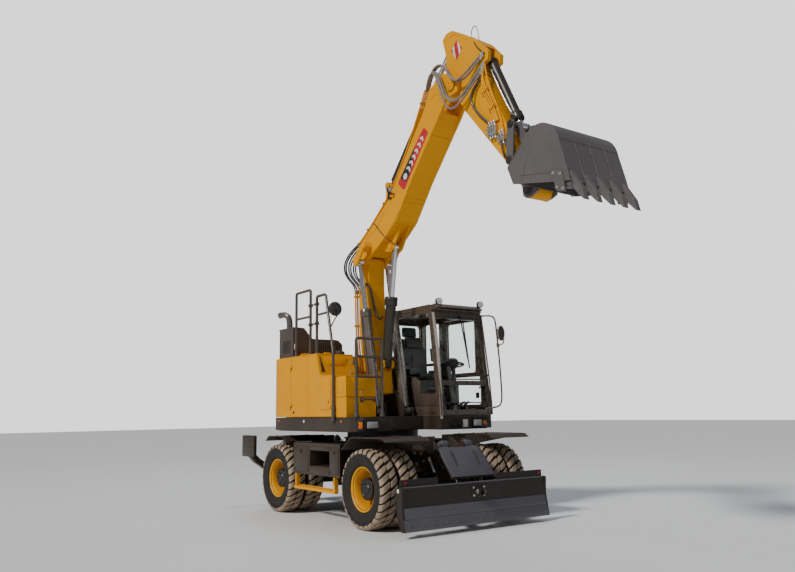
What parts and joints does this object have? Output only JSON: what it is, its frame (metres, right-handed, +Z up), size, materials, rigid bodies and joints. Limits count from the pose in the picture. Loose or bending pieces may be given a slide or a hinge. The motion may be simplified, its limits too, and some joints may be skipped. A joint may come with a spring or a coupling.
{
  "type": "wheeled excavator",
  "caption": "Wheeled excavator with a two-piece boom, arm, bucket, front blade, rear outriggers, cab and steered front axle.",
  "frame": {"origin": "on the ground under the centre of the parked machine's bounding box", "axes": "+X to the front, +Y to the machine's left, +Z up"},
  "size_m": [7.445, 2.8499, 6.92],
  "materials": {
    "boom_yellow": "satin, light wear",
    "body_yellow": "satin",
    "rim_yellow": "satin, dusty",
    "tyre": "matt, dusty",
    "frame_grey": "matt",
    "cab_brown": "satin",
    "barrel_silver": "satin",
    "rod_chrome": "polished",
    "window_glass": "clear",
    "interior_black": "matt",
    "engine_iron": "rough",
    "bucket_steel": "worn",
    "rail_dark": "satin"
  },
  "bodies": {
    "chassis": {"chassis_frame": "frame_grey", "slew_ring": "frame_grey", "rear_axle": "frame_grey", "front_axle": "frame_grey", "side_boxes": "frame_grey", "step_bars": "body_yellow", "fenders": "frame_grey"},
    "upper_structure": {"upper_frame": "frame_grey", "lower_skirt": "frame_grey", "counterweight": "body_yellow", "body_panels": "body_yellow", "engine_block": "engine_iron", "toolbox": "body_yellow", "handrails": "rail_dark", "cab_shell": "cab_brown", "cab_glass": "window_glass", "cab_interior": "interior_black", "cab_fittings": "cab_brown"},
    "hood": {"engine_hood": "cab_brown", "exhaust": "rod_chrome"},
    "door_cab": {"cab_door": "cab_brown", "door_glass": "window_glass"},
    "door_right": {"service_door_right": "body_yellow"},
    "door_left": {"service_door_left": "body_yellow"},
    "lid_toolbox": {"toolbox_lid": "body_yellow"},
    "lower_boom": {"lower_boom": "boom_yellow"},
    "lift_barrels": {"lift_barrels": "barrel_silver"},
    "lift_rods": {"lift_rods": "rod_chrome"},
    "adjust_barrel": {"adjust_barrel": "cab_brown"},
    "adjust_rod": {"adjust_rod": "rod_chrome"},
    "upper_boom": {"upper_boom": "boom_yellow"},
    "arm_barrel": {"arm_barrel": "cab_brown"},
    "arm_rod": {"arm_rod": "rod_chrome"},
    "arm": {"arm": "boom_yellow"},
    "bucket_barrel": {"bucket_barrel": "cab_brown"},
    "bucket_rod": {"bucket_rod": "rod_chrome"},
    "idler": {"idler_links": "bucket_steel"},
    "h_link": {"h_link": "bucket_steel"},
    "bucket": {"bucket": "bucket_steel"},
    "blade": {"dozer_blade": "frame_grey"},
    "blade_barrels": {"blade_barrels": "frame_grey"},
    "blade_rods": {"blade_rods": "rod_chrome"},
    "steering_rod": {"steering_rod": "rod_chrome"},
    "leg_left": {"outrigger_leg_left": "frame_grey"},
    "leg_barrel_left": {"outrigger_barrel_left": "cab_brown"},
    "leg_rod_left": {"outrigger_rod_left": "rod_chrome"},
    "knuckle_left": {"knuckle_left": "frame_grey"},
    "wheel_front_left": {"rims_front_left": "rim_yellow", "tyres_front_left": "tyre"},
    "wheel_rear_left": {"rims_rear_left": "rim_yellow", "tyres_rear_left": "tyre"},
    "leg_right": {"outrigger_leg_right": "frame_grey"},
    "leg_barrel_right": {"outrigger_barrel_right": "cab_brown"},
    "leg_rod_right": {"outrigger_rod_right": "rod_chrome"},
    "knuckle_right": {"knuckle_right": "frame_grey"},
    "wheel_front_right": {"rims_front_right": "rim_yellow", "tyres_front_right": "tyre"},
    "wheel_rear_right": {"rims_rear_right": "rim_yellow", "tyres_rear_right": "tyre"}
  },
  "joints": [
    {"name": "swing", "type": "hinge", "parent": "chassis", "child": "upper_structure", "pos_m": [-1.18, 0, 1.27], "axis": [0, 0, 1], "continuous": true},
    {"name": "boom_lift", "type": "hinge", "parent": "upper_structure", "child": "lower_boom", "pos_m": [-0.99, -0.18, 1.95], "axis": [0, -1, 0], "range_deg": [-90, 4]},
    {"name": "lift_barrel_tilt", "type": "hinge", "parent": "upper_structure", "child": "lift_barrels", "pos_m": [-0.66, -0.18, 1.55], "axis": [0, -1, 0], "range_deg": [-82.2, 3.7]},
    {"name": "lift_rod_slide", "type": "slide", "parent": "lift_barrels", "child": "lift_rods", "axis": [-0.1898, 0, 0.9818], "range_m": [-0.6718, 0.0299]},
    {"name": "boom_fold", "type": "hinge", "parent": "lower_boom", "child": "upper_boom", "pos_m": [-1.12, -0.18, 3.93], "axis": [0, 1, 0], "range_deg": [-9, 50]},
    {"name": "adjust_barrel_tilt", "type": "hinge", "parent": "lower_boom", "child": "adjust_barrel", "pos_m": [-0.78, -0.18, 2.27], "axis": [0, 1, 0], "range_deg": [-0.24, 1.12]},
    {"name": "adjust_rod_slide", "type": "slide", "parent": "adjust_barrel", "child": "adjust_rod", "axis": [0.1521, 0, 0.9884], "range_m": [-0.5471, 0.0985]},
    {"name": "arm_swing", "type": "hinge", "parent": "upper_boom", "child": "arm", "pos_m": [1.22, -0.18, 6.06], "axis": [0, -1, 0], "range_deg": [-6, 75]},
    {"name": "arm_barrel_tilt", "type": "hinge", "parent": "upper_boom", "child": "arm_barrel", "pos_m": [-0.54, -0.18, 5.07], "axis": [0, -1, 0], "range_deg": [-0.25, 2.53]},
    {"name": "arm_rod_slide", "type": "slide", "parent": "arm_barrel", "child": "arm_rod", "axis": [0.679, 0, 0.7342], "range_m": [-0.9408, 0.0753]},
    {"name": "bucket_curl", "type": "hinge", "parent": "arm", "child": "bucket", "pos_m": [2.6, -0.18, 4.2], "axis": [0, 1, 0], "range_deg": [0, 132]},
    {"name": "idler_swing", "type": "hinge", "parent": "arm", "child": "idler", "pos_m": [2.33, -0.18, 4.64], "axis": [0, 1, 0], "range_deg": [-0.05, 110.98]},
    {"name": "h_link_swing", "type": "hinge", "parent": "idler", "child": "h_link", "pos_m": [2.37, -0.18, 5.107], "axis": [0, -1, 0], "range_deg": [-0.05, 93.88]},
    {"name": "bucket_barrel_tilt", "type": "hinge", "parent": "arm", "child": "bucket_barrel", "pos_m": [1.85, -0.18, 6.22], "axis": [0, -1, 0], "range_deg": [-0.05, 4.65]},
    {"name": "bucket_rod_slide", "type": "slide", "parent": "bucket_barrel", "child": "bucket_rod", "axis": [0.4233, 0, -0.906], "range_m": [0, 0.7422]},
    {"name": "blade_lift", "type": "hinge", "parent": "chassis", "child": "blade", "pos_m": [0.61, 0, 0.47], "axis": [0, -1, 0], "range_deg": [-12, 7]},
    {"name": "blade_barrel_tilt", "type": "hinge", "parent": "chassis", "child": "blade_barrels", "pos_m": [0.62, 0, 1.09], "axis": [0, -1, 0], "range_deg": [-1.48, 0.89]},
    {"name": "blade_rod_slide", "type": "slide", "parent": "blade_barrels", "child": "blade_rods", "axis": [0.5029, 0, -0.8643], "range_m": [-0.0408, 0.0699]},
    {"name": "outrigger_left", "type": "hinge", "parent": "chassis", "child": "leg_left", "pos_m": [-3.48, 0.64, 0.47], "axis": [-1, 0, 0], "range_deg": [0, 77]},
    {"name": "outrigger_barrel_left_tilt", "type": "hinge", "parent": "chassis", "child": "leg_barrel_left", "pos_m": [-3.48, 0.47, 1.085], "axis": [-1, 0, 0], "range_deg": [-0.05, 16.09]},
    {"name": "outrigger_rod_left_slide", "type": "slide", "parent": "leg_barrel_left", "child": "leg_rod_left", "axis": [0, 0.6859, -0.7277], "range_m": [0, 0.3324]},
    {"name": "outrigger_right", "type": "hinge", "parent": "chassis", "child": "leg_right", "pos_m": [-3.48, -0.64, 0.47], "axis": [1, 0, 0], "range_deg": [0, 77]},
    {"name": "outrigger_barrel_right_tilt", "type": "hinge", "parent": "chassis", "child": "leg_barrel_right", "pos_m": [-3.48, -0.47, 1.085], "axis": [1, 0, 0], "range_deg": [-0.05, 16.09]},
    {"name": "outrigger_rod_right_slide", "type": "slide", "parent": "leg_barrel_right", "child": "leg_rod_right", "axis": [0, -0.6859, -0.7277], "range_m": [0, 0.3324]},
    {"name": "steer_left", "type": "hinge", "parent": "chassis", "child": "knuckle_left", "pos_m": [0.17, 0.6, 0.5275], "axis": [0, 0, 1], "range_deg": [-28, 28]},
    {"name": "steer_right", "type": "hinge", "parent": "chassis", "child": "knuckle_right", "pos_m": [0.17, -0.6, 0.5275], "axis": [0, 0, 1], "range_deg": [-28, 28]},
    {"name": "steering_rod_slide", "type": "slide", "parent": "chassis", "child": "steering_rod", "axis": [0, 1, 0], "range_m": [-0.1, 0.1]},
    {"name": "wheel_front_left_spin", "type": "hinge", "parent": "knuckle_left", "child": "wheel_front_left", "pos_m": [0.17, 0.971, 0.5275], "axis": [0, 1, 0], "continuous": true},
    {"name": "wheel_rear_left_spin", "type": "hinge", "parent": "chassis", "child": "wheel_rear_left", "pos_m": [-2.38, 0.971, 0.5275], "axis": [0, 1, 0], "continuous": true},
    {"name": "wheel_front_right_spin", "type": "hinge", "parent": "knuckle_right", "child": "wheel_front_right", "pos_m": [0.17, -0.971, 0.5275], "axis": [0, 1, 0], "continuous": true},
    {"name": "wheel_rear_right_spin", "type": "hinge", "parent": "chassis", "child": "wheel_rear_right", "pos_m": [-2.38, -0.971, 0.5275], "axis": [0, 1, 0], "continuous": true},
    {"name": "cab_door_swing", "type": "hinge", "parent": "upper_structure", "child": "door_cab", "pos_m": [-1.09, 1.262, 2.3], "axis": [0, 0, 1], "range_deg": [0, 165]},
    {"name": "engine_hood_lift", "type": "hinge", "parent": "upper_structure", "child": "hood", "pos_m": [-2.754, -0.45, 2.446], "axis": [0, -1, 0], "range_deg": [0, 60]},
    {"name": "service_door_right_swing", "type": "hinge", "parent": "upper_structure", "child": "door_right", "pos_m": [-1.918, -1.259, 1.95], "axis": [0, 0, -1], "range_deg": [0, 100]},
    {"name": "service_door_left_swing", "type": "hinge", "parent": "upper_structure", "child": "door_left", "pos_m": [-2.333, 1.259, 1.95], "axis": [0, 0, 1], "range_deg": [0, 100]},
    {"name": "toolbox_lid_lift", "type": "hinge", "parent": "upper_structure", "child": "lid_toolbox", "pos_m": [-0.603, -0.99, 2.068], "axis": [0, -1, 0], "range_deg": [0, 75]}
  ],
  "couplings": [
    {"joint": "lift_barrel_tilt", "follows": "boom_lift", "ratio": 0.89491},
    {"joint": "lift_rod_slide", "follows": "boom_lift", "m_per_rad": 0.41931},
    {"joint": "adjust_barrel_tilt", "follows": "boom_fold", "ratio": 0.02104},
    {"joint": "adjust_rod_slide", "follows": "boom_fold", "m_per_rad": -0.61468},
    {"joint": "arm_barrel_tilt", "follows": "arm_swing", "ratio": 0.03247},
    {"joint": "arm_rod_slide", "follows": "arm_swing", "m_per_rad": -0.70465},
    {"joint": "idler_swing", "follows": "bucket_curl", "ratio": 0.82388},
    {"joint": "h_link_swing", "follows": "bucket_curl", "ratio": 0.69687},
    {"joint": "bucket_barrel_tilt", "follows": "bucket_curl", "ratio": 0.03415},
    {"joint": "bucket_rod_slide", "follows": "bucket_curl", "m_per_rad": 0.31585},
    {"joint": "blade_barrel_tilt", "follows": "blade_lift", "ratio": 0.11719},
    {"joint": "blade_rod_slide", "follows": "blade_lift", "m_per_rad": -0.32717},
    {"joint": "outrigger_barrel_left_tilt", "follows": "outrigger_left", "ratio": 0.20425},
    {"joint": "outrigger_rod_left_slide", "follows": "outrigger_left", "m_per_rad": 0.2425},
    {"joint": "outrigger_barrel_right_tilt", "follows": "outrigger_right", "ratio": 0.20425},
    {"joint": "outrigger_rod_right_slide", "follows": "outrigger_right", "m_per_rad": 0.2425},
    {"joint": "steer_right", "follows": "steer_left", "ratio": 1},
    {"joint": "steering_rod_slide", "follows": "steer_left", "m_per_rad": -0.20174}
  ]
}
